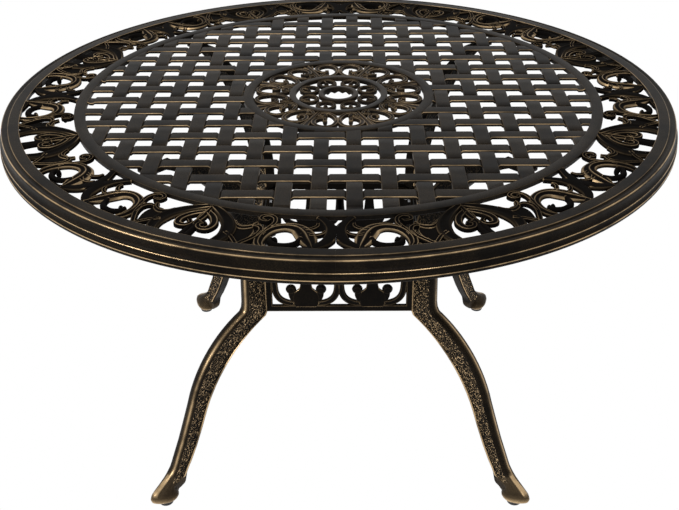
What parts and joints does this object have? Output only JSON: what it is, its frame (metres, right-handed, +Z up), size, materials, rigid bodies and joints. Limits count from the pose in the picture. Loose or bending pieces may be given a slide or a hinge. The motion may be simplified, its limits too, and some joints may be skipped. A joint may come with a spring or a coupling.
{
  "type": "patio umbrella table",
  "caption": "Round cast metal patio dining table with a woven lattice top, scrolled border and aprons, curved legs, levelling glides and an umbrella hole",
  "frame": {"origin": "on the floor under the middle of the table top", "axes": "+Z up along the umbrella hole, -Y towards the camera, +X to the camera's right"},
  "size_m": [1.2198, 1.22, 0.702],
  "materials": {
    "bronze_metal": "antique bronze enamel, near black, rubbed to gold on raised edges",
    "bracket_steel": "painted the same dark bronze",
    "screw_steel": "zinc plated",
    "glide_plastic": "black moulded plastic"
  },
  "bodies": {
    "table": {"rim_right": "bronze_metal", "rim_left": "bronze_metal", "border_scroll_1": "bronze_metal", "border_scroll_2": "bronze_metal", "border_scroll_3": "bronze_metal", "border_scroll_4": "bronze_metal", "border_scroll_5": "bronze_metal", "border_scroll_6": "bronze_metal", "border_scroll_7": "bronze_metal", "border_scroll_8": "bronze_metal", "lattice_panel": "bronze_metal", "medallion": "bronze_metal", "leg_front_right": "bronze_metal", "corner_bracket_front_right": "bracket_steel", "leg_rear_right": "bronze_metal", "corner_bracket_rear_right": "bracket_steel", "leg_rear_left": "bronze_metal", "corner_bracket_rear_left": "bracket_steel", "leg_front_left": "bronze_metal", "corner_bracket_front_left": "bracket_steel", "apron_front": "bronze_metal", "apron_right": "bronze_metal", "apron_rear": "bronze_metal", "apron_left": "bronze_metal"},
    "glide_front_right": {"glide_pad_front_right": "glide_plastic", "glide_stem_front_right": "screw_steel"},
    "glide_rear_right": {"glide_pad_rear_right": "glide_plastic", "glide_stem_rear_right": "screw_steel"},
    "glide_rear_left": {"glide_pad_rear_left": "glide_plastic", "glide_stem_rear_left": "screw_steel"},
    "glide_front_left": {"glide_pad_front_left": "glide_plastic", "glide_stem_front_left": "screw_steel"}
  },
  "joints": [
    {"name": "glide_front_right_screw", "type": "slide", "parent": "table", "child": "glide_front_right", "axis": [0, 0, -1], "range_m": [0, 0.008]},
    {"name": "glide_rear_right_screw", "type": "slide", "parent": "table", "child": "glide_rear_right", "axis": [0, 0, -1], "range_m": [0, 0.008]},
    {"name": "glide_rear_left_screw", "type": "slide", "parent": "table", "child": "glide_rear_left", "axis": [0, 0, -1], "range_m": [0, 0.008]},
    {"name": "glide_front_left_screw", "type": "slide", "parent": "table", "child": "glide_front_left", "axis": [0, 0, -1], "range_m": [0, 0.008]}
  ]
}
